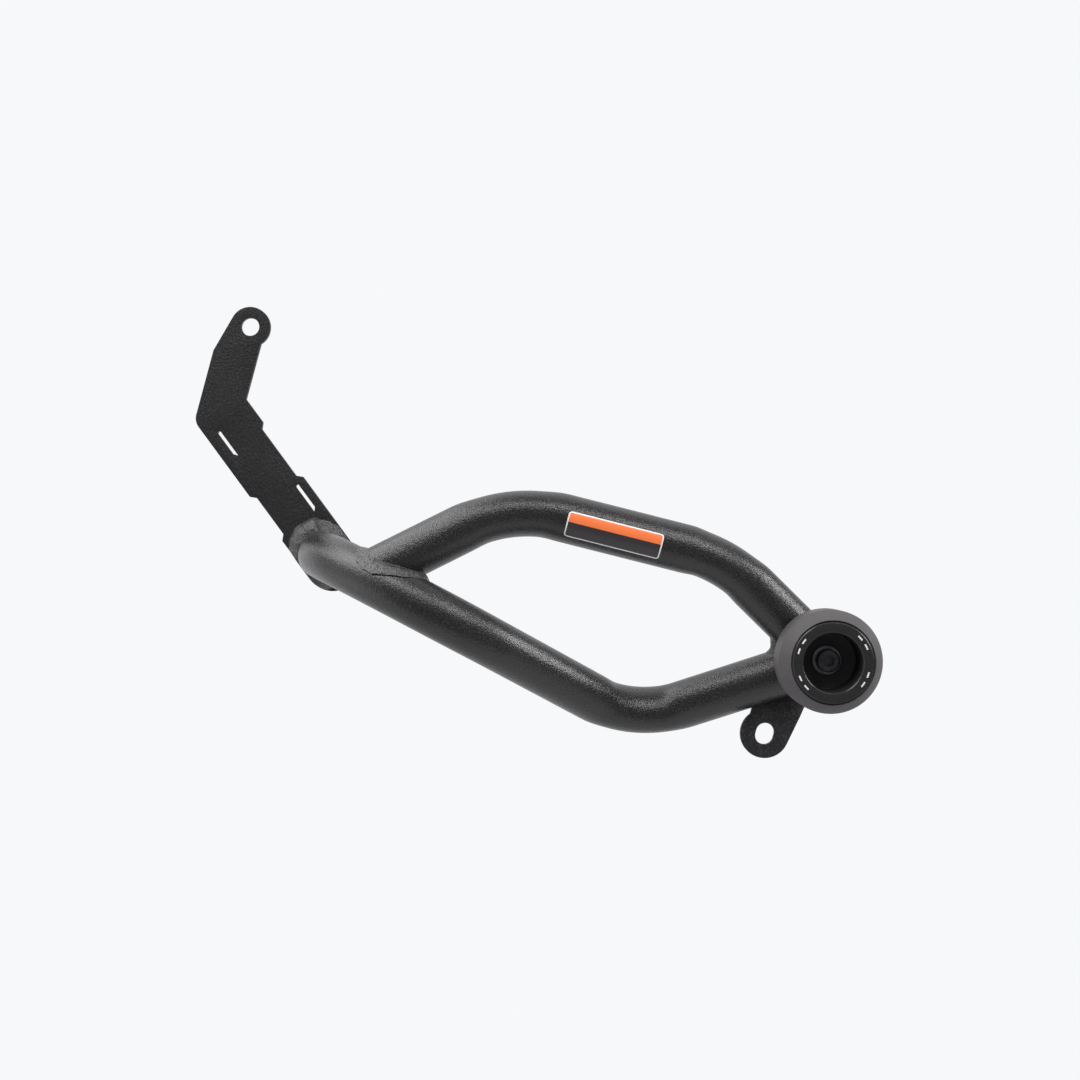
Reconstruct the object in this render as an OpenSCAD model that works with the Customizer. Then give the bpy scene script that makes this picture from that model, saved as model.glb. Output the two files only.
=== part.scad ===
// Crash bar for one side of a motorcycle: two bent tubes, a flat upper plate, a folded
// lower tab and a bolt-on slider puck.
// X runs along the machine, Y points inboard to its frame and Z is up.
// The origin is the centre of the upper bolt hole, on the face that lies on the frame.
// A direction is given by its sweep, the angle from +X towards +Y, and its rise above level.

/* [Tubes] */
// Outer diameter of both tubes
tube_d = 28; // [24:0.5:34]
// Wall thickness of both tubes
tube_wall = 2; // [1.2:0.1:3]
// Centreline radius of every bend but the knee
bend_r = 84; // [66:1:100]
// Centreline radius of the main tube's knee
knee_r = 56; // [44:1:84]

// How much thinner a bend is than the straights beside it
bend_thin = 0.05; // [0.03:0.01:0.2]

/* [Main tube] */
// Length of the straight between the plate and the elbow
lead_run = 2; // [2:0.5:8]
// Rise of the tube where it leaves the plate
lead_rise = 5; // [0:0.5:8]
// Length of the straight between the elbow and the knee
main_run = 66; // [46:1:96]
// Sweep of that straight, back towards the machine
main_sweep = 31; // [25:0.5:38]
// Fall of that straight
main_fall = 26.5; // [20:0.5:32]
// Length of the straight from the knee to the hub
tail_run = 85; // [70:1:106]
// Sweep of the tail, out from the machine
tail_sweep = 9.5; // [7:0.5:13]
// Rise of the tail
tail_rise = 18.5; // [14:0.5:23]

/* [Branch tube] */
// Where the branch starts, in degrees along the elbow's turn
branch_at = 56; // [46:1:68]
// Distance from the elbow's centreline to the crest's corner
crest_reach = 92; // [80:1:112]
// Sweep of the stretch up to the crest
crest_sweep = 7; // [3:0.5:10]
// Rise of the stretch up to the crest
crest_rise = 26.5; // [22:0.5:33]
// Distance from the hub to the shoulder's corner
shoulder_reach = 83; // [75:1:104]
// Sweep of the stretch down to the hub
shoulder_sweep = 8; // [5:0.5:12]
// Fall of the stretch down to the hub
shoulder_fall = 44; // [38:0.5:50]

/* [Upper plate] */
// Thickness of the plate
plate_t = 5; // [3:0.5:8]
// Diameter of the bolt hole
bolt_hole_d = 11; // [8:0.5:13]
// Radius of the rounded head round the bolt hole
head_r = 12; // [10:0.5:15]
// Width of the arm below the head
arm_w = 26.5; // [22:0.5:32]
// How far the arm's middle lies beside the bolt hole
arm_shift = 4.5; // [2:0.5:7]
// Length of the arm, from the bolt hole to the plate's corner
arm_len = 53.5; // [44:0.5:66]
// Lean of the arm from the vertical
arm_lean = 15; // [11:1:19]
// How far below the bolt hole the arm reaches its full width
shoulder_drop = 19.5; // [17:0.5:26]
// Length of the foot, from the corner to the middle of its round end
foot_len = 115.3; // [100:0.1:136]
// Fall of the foot below level
foot_fall = 53.7; // [45:0.1:64]
// Margin of the foot beside the tube
foot_margin = 2.5; // [1:0.5:5]
// Radius of the plate's outer corner
corner_r = 9; // [5:0.5:14]
// Depth of the shallow recesses in the foot's edges
recess_depth = 3; // [1:0.5:5]
// Length of the outer recess
outer_recess_len = 30; // [20:1:40]
// Start of the outer recess, from the corner
outer_recess_at = 53; // [43:1:63]
// Length of the inner recess
inner_recess_len = 38; // [28:1:46]
// Start of the inner recess, from the corner
inner_recess_at = 21; // [17:1:25]
// Width of the two locating slots
slot_w = 2.2; // [1.5:0.1:4]
// Length of the two locating slots
slot_len = 18.5; // [12:0.5:24]
// Middle of the upper slot, from the corner
upper_slot_at = 19; // [13:1:25]
// How far the upper slot lies inside the outer edge
upper_slot_inset = 8; // [6:0.5:11]
// Middle of the lower slot, from the corner
lower_slot_at = 73; // [61:1:81]
// How far the lower slot lies inside the inner edge
lower_slot_inset = 6; // [5:0.2:9]
// Distance from the tube's seat to the middle of the round end
seat_back = 7.3; // [4:0.1:12]
// How far the tube's seat lies off the foot's middle
seat_side = 2.2; // [0:0.1:2.5]

/* [Hub] */
// How much larger the boss's radius is than the tube's
boss_over = 3; // [2:0.5:6]
// How far the boss stands out in front of the tubes
boss_front = 6; // [5:0.5:9]
// How far the boss stands out behind the tubes
boss_back = 6; // [4:0.5:9]
// How far the tubes' middles cross beyond the puck's axis
aim_past = 3.6; // [0:0.2:6]

/* [Lower tab] */
// Thickness of the tab
tab_t = 4; // [3:0.5:6]
// Radius of the tab's round end
tab_r = 14.2; // [12:0.2:18]
// Width of the slotted hole
tab_hole_w = 10.5; // [8:0.5:13]
// Height of the slotted hole
tab_hole_h = 12.5; // [10:0.5:16]
// How far the slotted hole lies below the hub
tab_drop = 44; // [40:0.5:52]
// How far the slotted hole lies beside the hub
tab_side = 34.5; // [28:0.5:41]
// How far the tab's front face lies behind the hub's middle
tab_in = 6; // [4:0.5:8]
// Lean of the tab from the vertical
tab_lean = 15; // [10:1:20]
// Height of the fold above the slotted hole
fold_at = 14.5; // [12:0.5:17]
// Angle of the fold
fold_angle = 15; // [10:0.5:22]
// Inner radius of the fold
fold_r = 5; // [4.2:0.2:8]
// How far the tab's left edge lies beside the hole
tab_left = 11; // [9:0.5:13]
// How much the tab's right edge flares
tab_flare = 11; // [8:1:17]

/* [Welds] */
// Leg of the bead round the tube on the plate
plate_bead = 7; // [3:0.5:8]
// Height of the bead where the branch meets the main tube
branch_bead = 3; // [2:0.5:4]
// Height of the beads at the hub
hub_bead = 4; // [2:0.5:4.5]
// Height of the bead on the tab
tab_bead = 3; // [1.5:0.5:4]
// Width of the bead in the crotch between the tubes
seam_w = 10; // [6:0.5:14]

/* [Puck] */
// Outer diameter of the slider puck
puck_d = 58; // [52:1:66]
// Length of the puck's straight side
puck_side = 22; // [17:0.5:28]
// Length of the rounded front edge
bevel_len = 10.5; // [7:0.5:13]
// Outer diameter of the inlaid ring
ring_d = 46.5; // [40:0.5:50]
// Thickness of the inlaid ring
ring_t = 1.5; // [1:0.1:3]
// Diameter of the puck's recess
bore_d = 33; // [26:0.5:37]
// Thickness of the puck's floor
floor_t = 5.5; // [3:0.5:9]
// Nominal diameter of the puck's screw
screw_d = 8; // [6:0.5:10]
// Length of the screw's shank
screw_len = 30; // [20:1:38]
// Diameter of the screw's head
screw_head_d = 13; // [11:0.5:16]
// Height of the screw's head
screw_head_h = 8; // [5:0.5:10]
// Width of the hexagon socket, across its flats
socket_w = 6; // [4:0.5:7]
// Outer diameter of the washer
washer_d = 16.4; // [14:0.2:22]
// Thickness of the washer
washer_t = 1.6; // [1:0.1:2.5]
// Clearance round the screw
screw_gap = 0.25; // [0.1:0.05:0.5]

/* [Label] */
// Length of the label on the branch
label_len = 55.5; // [40:0.5:62]
// Width of the label round the branch
label_w = 15.2; // [10:0.2:20]
// Thickness of the label
label_t = 0.3; // [0.2:0.05:0.6]
// How far the label's middle lies round below the front
label_turn = 12; // [0:1:25]
// How far the label's middle lies from the stretch's middle, towards the crest
label_shift = 2.2; // [0:0.2:4]

/* [Hidden] */
$fn = 96;

// How far a cutting shape reaches past what it cuts
past = 1;
// How far a half space reaches
far = 400;
tube_r = tube_d / 2;
bore_r = tube_r - tube_wall;
foot_w = tube_d + 2 * foot_margin;
// How far from the main tube's middle the branch starts, before its end is coped
cope_start = 3;
// How far each bend reaches into the straights beside it, in degrees of turn
bend_lap = 0.3;
// How far an edge lies inside the round end that it runs out of
edge_inset = 0.02;
// Steps that the fold's curve is drawn with
fold_steps = 6;

function unit(v) = v / norm(v);
function heading(sweep, rise) = [cos(rise) * cos(sweep), cos(rise) * sin(sweep), sin(rise)];
function turn_of(a, b) = acos(a * b);
function tangent_len(a, b, bend = bend_r) = bend * tan(turn_of(a, b) / 2);
// Part of b that is square to the unit vector a
function square_to(a, b) = unit(b - a * (a * b));
// Matrix that puts a shape's own axes on x, y and x cross y, at a place
function frame_at(place, x, y) = let (z = cross(x, y))
    [[x[0], y[0], z[0], place[0]],
     [x[1], y[1], z[1], place[1]],
     [x[2], y[2], z[2], place[2]],
     [0, 0, 0, 1]];

// Plate outline, as flat points: x along the machine, y up
arm_dir = [-sin(arm_lean), -cos(arm_lean)];
arm_side = [cos(arm_lean), -sin(arm_lean)];
foot_dir = [cos(foot_fall), -sin(foot_fall)];
foot_side = [sin(foot_fall), cos(foot_fall)];
corner = -arm_shift * arm_side + arm_len * arm_dir;
function on_arm(down, side) = down * arm_dir + (side - arm_shift) * arm_side;
function on_foot(along, side) = corner + along * foot_dir + side * foot_side;
// Crossing of the line p + t a with the line q + t b
function crossing(p, a, q, b) =
    let (t = cross(q - p, b) / cross(a, b)) p + t * a;
outer_corner = crossing(on_arm(0, -arm_w / 2), arm_dir, on_foot(0, -foot_w / 2), foot_dir);
inner_corner = crossing(on_arm(0, arm_w / 2), arm_dir, on_foot(0, foot_w / 2), foot_dir);
full_width = on_arm(shoulder_drop, -arm_w / 2);
// Point of the head's circle where a line to full_width touches it
head_touch = let (a = atan2(full_width[1], full_width[0]), b = acos(head_r / norm(full_width)))
    (head_r - edge_inset) * [cos(a - b), sin(a - b)];
corner_turn = acos(arm_dir * foot_dir);
corner_cut = corner_r * tan(corner_turn / 2);
corner_mid = outer_corner - corner_cut * arm_dir + corner_r * arm_side;
foot_end = on_foot(foot_len, 0);

// Route of the main tube
seat_flat = on_foot(foot_len - seat_back, -seat_side);
seat = [seat_flat[0], -plate_t, seat_flat[1]];
lead_dir = heading(-90, lead_rise);
main_dir = heading(main_sweep, -main_fall);
tail_dir = heading(-tail_sweep, tail_rise);
elbow_side = square_to(lead_dir, main_dir);
elbow = seat + lead_dir * (lead_run + tangent_len(lead_dir, main_dir));
knee_cut = tangent_len(main_dir, tail_dir, knee_r);
knee = elbow + main_dir * (tangent_len(lead_dir, main_dir) + main_run + knee_cut);
hub = knee + tail_dir * (knee_cut + tail_run);
main_route = [seat - lead_dir * plate_t, elbow, knee, hub - tail_dir * aim_past];
main_bends = [bend_r, knee_r];

// Route of the branch tube
branch_foot = seat + lead_dir * (lead_run + bend_r * sin(branch_at))
    + elbow_side * bend_r * (1 - cos(branch_at));
main_dir_there = cos(branch_at) * lead_dir + sin(branch_at) * elbow_side;
crest_dir = heading(crest_sweep, crest_rise);
shoulder_dir = heading(shoulder_sweep, -shoulder_fall);
crest = branch_foot + crest_dir * crest_reach;
shoulder = hub - shoulder_dir * shoulder_reach;
middle_dir = unit(shoulder - crest);
branch_route = [branch_foot + crest_dir * cope_start, crest, shoulder, hub - shoulder_dir * aim_past];
branch_bends = [bend_r, bend_r];

// Hub, along Y, with its places measured from the hub's middle
boss_r = tube_r + boss_over;
crotch_dir = -unit(tail_dir + shoulder_dir);
puck_axis = hub + aim_past * unit([crotch_dir[0], 0, crotch_dir[2]]);
boss_face = tube_r + boss_front;
puck_len = puck_side + bevel_len;

// Tab, with its own x to the right, y up along its lean
tab_right_dir = [cos(tab_lean), 0, -sin(tab_lean)];
tab_up_dir = [sin(tab_lean), 0, cos(tab_lean)];
tab_hole = [hub[0] - tab_side, hub[1] + tab_in, hub[2] - tab_drop];

// Straight round bar between two points
module bar(from, to, r) {
    way = to - from;
    translate(from)
        rotate([0, acos(way[2] / norm(way)), atan2(way[1], way[0])])
            cylinder(h = norm(way), r = r);
}

// Round bar along a route, with each corner bent to its own radius
module bent_bar(route, bends, r) {
    last = len(route) - 1;
    dirs = [for (i = [1:last]) unit(route[i] - route[i - 1])];
    cuts = [0, for (i = [1:last - 1]) tangent_len(dirs[i - 1], dirs[i], bends[i - 1]), 0];
    union() {
        for (i = [1:last])
            bar(route[i - 1] + dirs[i - 1] * cuts[i - 1], route[i] - dirs[i - 1] * cuts[i], r);
        for (i = [1:last - 1]) {
            start = route[i] - dirs[i - 1] * cuts[i];
            inward = square_to(dirs[i - 1], dirs[i]);
            bend = bends[i - 1];
            multmatrix(frame_at(start + inward * bend, -inward, dirs[i - 1]))
                rotate(-bend_lap)
                    rotate_extrude(angle = turn_of(dirs[i - 1], dirs[i]) + 2 * bend_lap)
                        translate([bend, 0])
                            circle(r = r - bend_thin);
        }
    }
}

// Everything inboard of the plate's front face
module behind_plate_front() {
    translate([-far / 2, -plate_t, -far]) cube([far, far, far]);
}

// Round bar along Y, given by where it starts and ends
module cross_bar(at, from_y, to_y, r) {
    translate([at[0], to_y, at[2]]) rotate([90, 0, 0]) cylinder(h = to_y - from_y, r = r);
}

// Turned shape on the puck's axis, whose profile's y runs out from the boss's face
module on_puck_axis() {
    translate([puck_axis[0], hub[1] - boss_face, puck_axis[2]]) rotate([90, 0, 0]) children();
}

// Flat shape in the X-Z plane, made thick towards the front
module upright_sheet(t) {
    rotate([90, 0, 0]) linear_extrude(height = t) children();
}

// The boss without its bore, with its side moved out and its back moved inboard
module boss_blank(grow = 0, longer = 0) {
    cross_bar(puck_axis, hub[1] - boss_face, hub[1] + tube_r + boss_back + longer, boss_r + grow);
}

module main_blank(grow = 0) {
    bent_bar(main_route, main_bends, tube_r + grow);
}

module branch_blank(grow = 0) {
    bent_bar(branch_route, branch_bends, tube_r + grow);
}

// Slab along the crotch between the two tubes, from the hub
module crotch_slab() {
    multmatrix(frame_at(hub, crotch_dir, unit(cross(tail_dir, shoulder_dir))))
        translate([-seam_w / 2, -2 * tube_d, -seam_w / 2])
            cube([2 * tube_d + seam_w, 4 * tube_d, seam_w]);
}

// Block on the branch's side of the main tube, from a little below its middle
module branch_side(below) {
    multmatrix(frame_at(branch_foot, square_to(main_dir_there, crest_dir), main_dir_there))
        translate([-below, -2 * tube_d, -2 * tube_d])
            cube([2 * tube_d, 4 * tube_d, 4 * tube_d]);
}

module plate_outline() {
    difference() {
        union() {
            circle(r = head_r);
            translate(corner_mid) circle(r = corner_r);
            translate(foot_end) circle(r = foot_w / 2);
            polygon([
                head_touch,
                full_width,
                outer_corner - corner_cut * arm_dir + edge_inset * arm_side,
                corner_mid,
                outer_corner + corner_cut * foot_dir + edge_inset * foot_side,
                on_foot(outer_recess_at, -foot_w / 2),
                on_foot(outer_recess_at + recess_depth, recess_depth - foot_w / 2),
                on_foot(outer_recess_at + outer_recess_len, recess_depth - foot_w / 2),
                on_foot(outer_recess_at + outer_recess_len + recess_depth, -foot_w / 2),
                on_foot(foot_len, edge_inset - foot_w / 2),
                on_foot(foot_len, foot_w / 2 - edge_inset),
                on_foot(inner_recess_at + inner_recess_len + recess_depth, foot_w / 2),
                on_foot(inner_recess_at + inner_recess_len, foot_w / 2 - recess_depth),
                on_foot(inner_recess_at + recess_depth, foot_w / 2 - recess_depth),
                on_foot(inner_recess_at, foot_w / 2),
                inner_corner,
                on_arm(0, arm_w / 2),
                [0, 0]
            ]);
        }
        translate(on_foot(upper_slot_at, upper_slot_inset - foot_w / 2)) slot_outline();
        translate(on_foot(lower_slot_at, foot_w / 2 - lower_slot_inset)) slot_outline();
    }
}

module slot_outline() {
    rotate(-foot_fall) square([slot_len, slot_w], center = true);
}

module upper_plate() {
    color("#2b2a2d")
        difference() {
            upright_sheet(plate_t) plate_outline();
            cross_bar([0, 0, 0], -plate_t - past, past, bolt_hole_d / 2);
        }
}

module main_tube() {
    color("#5d5d61")
        difference() {
            main_blank();
            bent_bar(main_route, main_bends, bore_r);
            behind_plate_front();
            boss_blank();
        }
}

module branch_tube() {
    color("#626266")
        difference() {
            branch_blank();
            bent_bar(branch_route, branch_bends, bore_r);
            main_blank();
            boss_blank();
        }
}

module hub_boss() {
    color("#4c4c50")
        difference() {
            boss_blank();
            cross_bar(puck_axis, hub[1] - boss_face - past, hub[1] + tube_r + boss_back + past,
                screw_d / 2 + screw_gap);
        }
}

// Outline of the tab from in front, about its hole
module tab_outline() {
    top = tab_drop + tab_side;
    edge_r = tab_r - edge_inset;
    difference() {
        union() {
            circle(r = tab_r);
            polygon([
                [-tab_left, 0],
                edge_r * [cos(tab_flare), -sin(tab_flare)],
                [edge_r / cos(tab_flare) + tan(tab_flare) * top, top],
                [-tab_left, top]
            ]);
        }
        straight = tab_hole_h - tab_hole_w;
        for (end = [-1, 1])
            translate([0, end * straight / 2]) circle(d = tab_hole_w);
        square([tab_hole_w, straight], center = true);
    }
}

// Section of a folded strip, between two depths behind the sheet's front face:
// x inboard from that face, y up from the hole
module folded_section(from, to) {
    fold_from = fold_at - (fold_r + tab_t) * tan(fold_angle / 2);
    fold_mid = [fold_r + tab_t, fold_from];
    turns = [for (i = [0:fold_steps]) fold_angle * i / fold_steps];
    top = tab_drop * [sin(fold_angle), cos(fold_angle)];
    front = [for (a = turns) fold_mid + (fold_mid[0] - from) * [-cos(a), sin(a)]];
    back = [for (a = turns) fold_mid + (fold_mid[0] - to) * [-cos(a), sin(a)]];
    polygon(concat(
        [[from, -tab_r - past]],
        [[to, -tab_r - past]],
        back,
        [back[fold_steps] + top, front[fold_steps] + top],
        [for (i = [fold_steps:-1:0]) front[i]]
    ));
}

// Folded strip across the tab, between two places to the right of its hole
module folded_strip(from, to, left, right) {
    multmatrix(frame_at(tab_hole + tab_right_dir * left, [0, 1, 0], tab_up_dir))
        linear_extrude(height = right - left) folded_section(from, to);
}

// The folded sheet before its top edge is cut
module tab_sheet() {
    intersection() {
        multmatrix(frame_at(tab_hole + [0, tab_t * 3, 0], tab_right_dir, tab_up_dir))
            linear_extrude(height = 9 * tab_t, center = true) tab_outline();
        folded_strip(0, tab_t, -tab_drop, tab_drop);
    }
}

// Everything above the line inside the main tube where the tab's top edge is cut
module above_tab_top() {
    level = atan2(tail_dir[2], tail_dir[0]);
    translate([hub[0], -far / 2, hub[2]])
        rotate([0, -level, 0])
            translate([-far / 2, 0, -tube_r / 2])
                cube([far, far, far]);
}

// The tab's sheet with its top edge cut
module tab_blank() {
    difference() {
        tab_sheet();
        above_tab_top();
    }
}

module lower_tab() {
    color("#343337")
        difference() {
            tab_blank();
            main_blank();
            boss_blank(0, tube_d);
        }
}

// Bead with a slightly domed face, all round the tube on the plate
module plate_weld() {
    dome = plate_bead * 0.8;
    color("#7b797c")
        difference() {
            intersection() {
                translate(seat)
                    rotate([90, 0, 0])
                        rotate_extrude()
                            intersection() {
                                translate([tube_r - dome, -dome])
                                    circle(r = norm([plate_bead + dome, dome]));
                                square(tube_d + plate_bead);
                            }
                translate([0, -plate_t, 0]) upright_sheet(2 * plate_bead) plate_outline();
            }
            main_blank();
        }
}

module branch_weld() {
    flank_bead = branch_bead * 0.8;
    color("#7b797c")
        difference() {
            intersection() {
                main_blank(branch_bead);
                bar(branch_foot - crest_dir * tube_d, branch_foot + crest_dir * 2 * tube_d, tube_r + flank_bead);
                branch_side(branch_bead);
            }
            main_blank();
            branch_blank();
        }
}

module hub_weld() {
    main_bead = hub_bead * 0.6;
    flank_bead = hub_bead * 0.7;
    color("#7b797c")
        difference() {
            union() {
                intersection() {
                    boss_blank(hub_bead);
                    main_blank(main_bead);
                }
                intersection() {
                    boss_blank(hub_bead);
                    branch_blank(flank_bead);
                }
                intersection() {
                    main_blank(main_bead);
                    branch_blank(flank_bead);
                    crotch_slab();
                }
            }
            main_blank();
            branch_blank();
            boss_blank();
            tab_blank();
        }
}

module tab_weld() {
    color("#6e6c70")
        difference() {
            intersection() {
                folded_strip(tab_t - past, tab_t + tab_bead, past - tab_left, tab_left);
                main_blank(tab_bead);
            }
            tab_sheet();
            above_tab_top();
            main_blank();
            boss_blank(hub_bead, tube_d);
        }
}

// Turned profile of the puck, y out from the boss's face
module puck_profile() {
    face_r = ring_d / 2;
    drop = puck_d / 2 - face_r;
    edge_r = (bevel_len * bevel_len + drop * drop) / (2 * drop);
    difference() {
        union() {
            square([puck_d / 2, puck_side]);
            square([face_r, puck_len]);
            intersection() {
                translate([puck_d / 2 - edge_r, puck_side]) circle(r = edge_r);
                square([puck_d / 2, puck_len]);
            }
        }
        translate([0, floor_t]) square([bore_d / 2, puck_len]);
        translate([0, -past]) square([screw_d / 2 + screw_gap, puck_len]);
        translate([0, puck_len - ring_t]) square([face_r, puck_len]);
    }
}

module slider_puck() {
    color("#5f5a5b") on_puck_axis() rotate_extrude() puck_profile();
}

module puck_ring() {
    edge = ring_t / 3;
    color("#232326")
        on_puck_axis()
            translate([0, 0, puck_len - ring_t])
                rotate_extrude()
                    polygon([
                        [bore_d / 2, 0],
                        [ring_d / 2, 0],
                        [ring_d / 2, ring_t],
                        [bore_d / 2 + edge, ring_t],
                        [bore_d / 2, ring_t - edge]
                    ]);
}

module puck_washer() {
    color("#454548")
        on_puck_axis()
            translate([0, 0, floor_t])
                difference() {
                    cylinder(h = washer_t, d = washer_d);
                    translate([0, 0, -past]) cylinder(h = washer_t + 2 * past, r = screw_d / 2 + screw_gap);
                }
}

module puck_screw() {
    head_edge = screw_head_d / 12;
    color("#2f2f32")
        on_puck_axis()
            translate([0, 0, floor_t + washer_t]) {
                difference() {
                    union() {
                        translate([0, 0, -screw_len]) cylinder(h = screw_len, d = screw_d);
                        cylinder(h = screw_head_h - head_edge, d = screw_head_d);
                        translate([0, 0, screw_head_h - head_edge])
                            cylinder(h = head_edge, d1 = screw_head_d, d2 = screw_head_d - 2 * head_edge);
                    }
                    translate([0, 0, screw_head_h / 2])
                        cylinder(h = screw_head_h, d = socket_w / cos(30), $fn = 6);
                }
            }
}

// Thin sheet wrapped on the front of the branch's middle stretch
module front_label() {
    wrap = label_w / tube_r * 180 / PI;
    middle = (crest + shoulder) / 2 - middle_dir * label_shift;
    front = square_to(middle_dir, [0, -1, 0]);
    below = cross(middle_dir, front);
    color("#e8642a")
        multmatrix(frame_at(middle - middle_dir * label_len / 2, front, below))
            rotate(label_turn - wrap / 2)
                rotate_extrude(angle = wrap)
                    translate([tube_r, 0]) square([label_t, label_len]);
}

upper_plate();
main_tube();
branch_tube();
hub_boss();
lower_tab();
plate_weld();
branch_weld();
hub_weld();
tab_weld();
slider_puck();
puck_ring();
puck_washer();
puck_screw();
front_label();
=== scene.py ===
"""Looks for a motorcycle crash bar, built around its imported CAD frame.

X runs along the machine, Y points inboard and Z is up, in metres.
"""
import math

import bmesh
import bpy
from mathutils import Matrix, Vector, noise


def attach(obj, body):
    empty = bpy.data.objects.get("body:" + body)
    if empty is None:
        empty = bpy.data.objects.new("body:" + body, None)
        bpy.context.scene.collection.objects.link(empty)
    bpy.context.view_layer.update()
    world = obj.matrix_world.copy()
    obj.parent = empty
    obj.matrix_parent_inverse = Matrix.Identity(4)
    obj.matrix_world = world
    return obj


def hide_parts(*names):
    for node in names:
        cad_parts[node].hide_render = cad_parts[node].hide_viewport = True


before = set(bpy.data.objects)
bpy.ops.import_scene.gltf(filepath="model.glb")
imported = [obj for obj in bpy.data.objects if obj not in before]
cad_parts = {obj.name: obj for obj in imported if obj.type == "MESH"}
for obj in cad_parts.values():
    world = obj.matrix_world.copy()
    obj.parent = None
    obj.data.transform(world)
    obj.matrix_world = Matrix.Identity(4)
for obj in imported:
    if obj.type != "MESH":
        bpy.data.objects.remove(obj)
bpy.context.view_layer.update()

bl_info = {
    "name": "Motorcycle Crash Bar",
    "version": (1, 0, 0),
    "blender": (4, 5, 0),
    "location": "View3D > Sidebar > Crash Bar",
    "description": "Builds the coated tubes, plates, welds and slider puck of a crash bar",
    "category": "Object",
}

MM = 0.001
FULL_TURN = 2 * math.pi
NUDGE = 1e-5


def mm(x, y, z):
    """A place in metres, given in millimetres."""
    return Vector((x, y, z)) * MM


# Corners of the two tubes' routes, as the part's source works them out
SEAT = mm(43.971, -5, -138.855)
ELBOW = mm(43.971, -151.557, -126.033)
KNEE = mm(230.598, -39.420, -234.587)
HUB = mm(340.188, -57.760, -197.408)
BRANCH_FOOT = mm(76.727, -77.871, -149.811)
CREST = mm(158.447, -67.837, -108.761)
SHOULDER = mm(281.064, -66.069, -139.752)
PUCK_X, PUCK_Z = 336.679 * MM, -196.605 * MM
TAB_HOLE = mm(305.688, -51.760, -241.408)
TAIL_DIR = (HUB - KNEE).normalized()
FALL_DIR = (HUB - SHOULDER).normalized()
CREST_DIR = (CREST - BRANCH_FOOT).normalized()
LEAD_DIR = (ELBOW - SEAT).normalized()
OUTBOARD = Vector((0, -1, 0))
# The elbow keeps its section better than the other bends
ELBOW_FLATTEN = 0.03
# About how long one piece of a straight tube is, and how far one piece of a bend turns, in degrees
STRAIGHT_PIECE, BEND_PIECE = 12 * MM, 2
# How far a coped end, or a bead's edge, sinks into what it meets
SEAM = 0.3 * MM
# The screw's bore, the boss, and the face where the puck sits on it
BORE_RADIUS = 4.25 * MM
BOSS_RADIUS, BOSS_LENGTH = 17 * MM, 40 * MM
PUCK_BACK = HUB.y - BOSS_LENGTH / 2
# The recess's floor, measured out from that face, how deep the ring is let in, and the washer
RECESS_FLOOR = 5.5 * MM
RING_DEPTH = 1.5 * MM
WASHER_RADIUS, WASHER_THICKNESS = 8.2 * MM, 1.6 * MM
# Sections round a bead, and points across its face
BEAD_SECTIONS, BEAD_POINTS = 180, 13


def measure(name, description, default, low, high):
    """A length property, given in millimetres."""
    return bpy.props.FloatProperty(
        name=name, description=description, default=default * MM, min=low * MM, max=high * MM, unit="LENGTH")


def tilt(name, description, default, high):
    """An angle property, given in degrees."""
    return bpy.props.FloatProperty(
        name=name, description=description, default=math.radians(default), min=0, max=math.radians(high),
        subtype="ANGLE")


def colour(name, description, default):
    """A colour property."""
    return bpy.props.FloatVectorProperty(
        name=name, description=description, default=default, size=3, min=0, max=1, subtype="COLOR")


def group_of(kind, name, description):
    """A property that holds a group of settings."""
    return bpy.props.PointerProperty(type=kind, name=name, description=description)


class TubeSettings(bpy.types.PropertyGroup):
    diameter: measure("Diameter", "Outer diameter of both tubes", 28, 24, 34)
    wall: measure("Wall", "Wall thickness of both tubes", 2, 1, 3)
    bend_radius: measure("Bend Radius", "Centreline radius of every bend but the knee", 84, 66, 100)
    knee_radius: measure("Knee Radius", "Centreline radius of the main tube's knee", 56, 44, 84)
    flatten: bpy.props.FloatProperty(
        name="Flatten", description="Share of its width that a tube loses in a bend", default=0.06, min=0,
        max=0.15)
    sides: bpy.props.IntProperty(name="Sides", description="Faces round a tube", default=72, min=24, max=128)


class PlateSettings(bpy.types.PropertyGroup):
    thickness: measure("Thickness", "Thickness of the upper plate", 5, 3, 8)
    hole: measure("Bolt Hole", "Diameter of the bolt hole", 11, 8, 13)
    edge: measure("Edge Radius", "Radius that the coating gives a cut edge", 0.6, 0.1, 1.5)


class TabSettings(bpy.types.PropertyGroup):
    thickness: measure("Thickness", "Thickness of the lower tab", 4, 3, 6)
    end_radius: measure("End Radius", "Radius of the tab's round end", 14.2, 12, 18)
    lean: tilt("Lean", "Lean of the tab from the vertical", 15, 30)
    fold: tilt("Fold", "Angle of the tab's fold", 15, 30)


class WeldSettings(bpy.types.PropertyGroup):
    lumps: measure("Lumps", "Height of the lumps on a bead", 0.45, 0, 1.5)
    lump_size: measure("Lump Size", "Distance between the lumps", 5, 2, 15)
    step: measure("Step", "How far a bead's edge stands proud of the metal", 0.35, 0, 1)


class PuckSettings(bpy.types.PropertyGroup):
    diameter: measure("Diameter", "Outer diameter of the slider puck", 58, 52, 66)
    side: measure("Side", "Length of the puck's straight side", 22, 17, 28)
    length: measure("Length", "Whole length of the puck", 32.5, 25, 40)
    ring: measure("Ring", "Outer diameter of the inlaid ring", 46.5, 40, 50)
    crown: measure("Crown", "How far the front edge swells out from a straight cone", 0.3, 0, 1.5)
    groove: measure("Groove", "Width of the groove round the inlaid ring", 0.8, 0.2, 2)
    recess: measure("Recess", "Diameter of the puck's recess", 33, 26, 37)


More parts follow.
